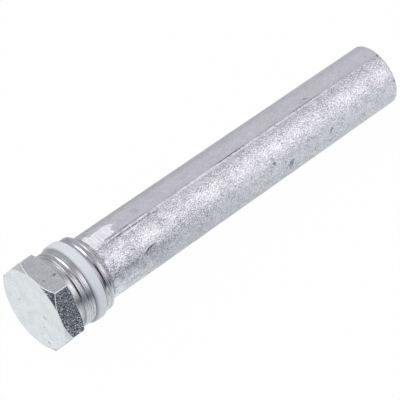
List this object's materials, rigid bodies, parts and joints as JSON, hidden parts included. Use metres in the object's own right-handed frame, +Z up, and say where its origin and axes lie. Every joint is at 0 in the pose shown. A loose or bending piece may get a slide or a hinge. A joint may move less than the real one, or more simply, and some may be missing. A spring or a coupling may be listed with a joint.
{
  "type": "sacrificial anode",
  "caption": "Tapered cast anode rod on a hexagon-headed pipe plug with a male thread and a white seal ring, for protecting a tank or cooler from corrosion.",
  "frame": {"origin": "centre of the front face of the hexagon head", "axes": "+X along the axis from the head to the tip of the rod, +Z up, square to the flat of the hexagon that faces up"},
  "size_m": [0.186, 0.0416, 0.036],
  "materials": {
    "zinc_plated_steel": "bright zinc plating over turned and rolled steel",
    "white_ptfe": "smooth, slightly waxy",
    "cast_anode_metal": "silver-white as cast, fine grain",
    "stud_steel": "plain drawn steel, hidden"
  },
  "bodies": {
    "root": {"plug": "zinc_plated_steel", "seal_ring": "white_ptfe", "anode_rod": "cast_anode_metal", "core_stud": "stud_steel"}
  },
  "joints": []
}
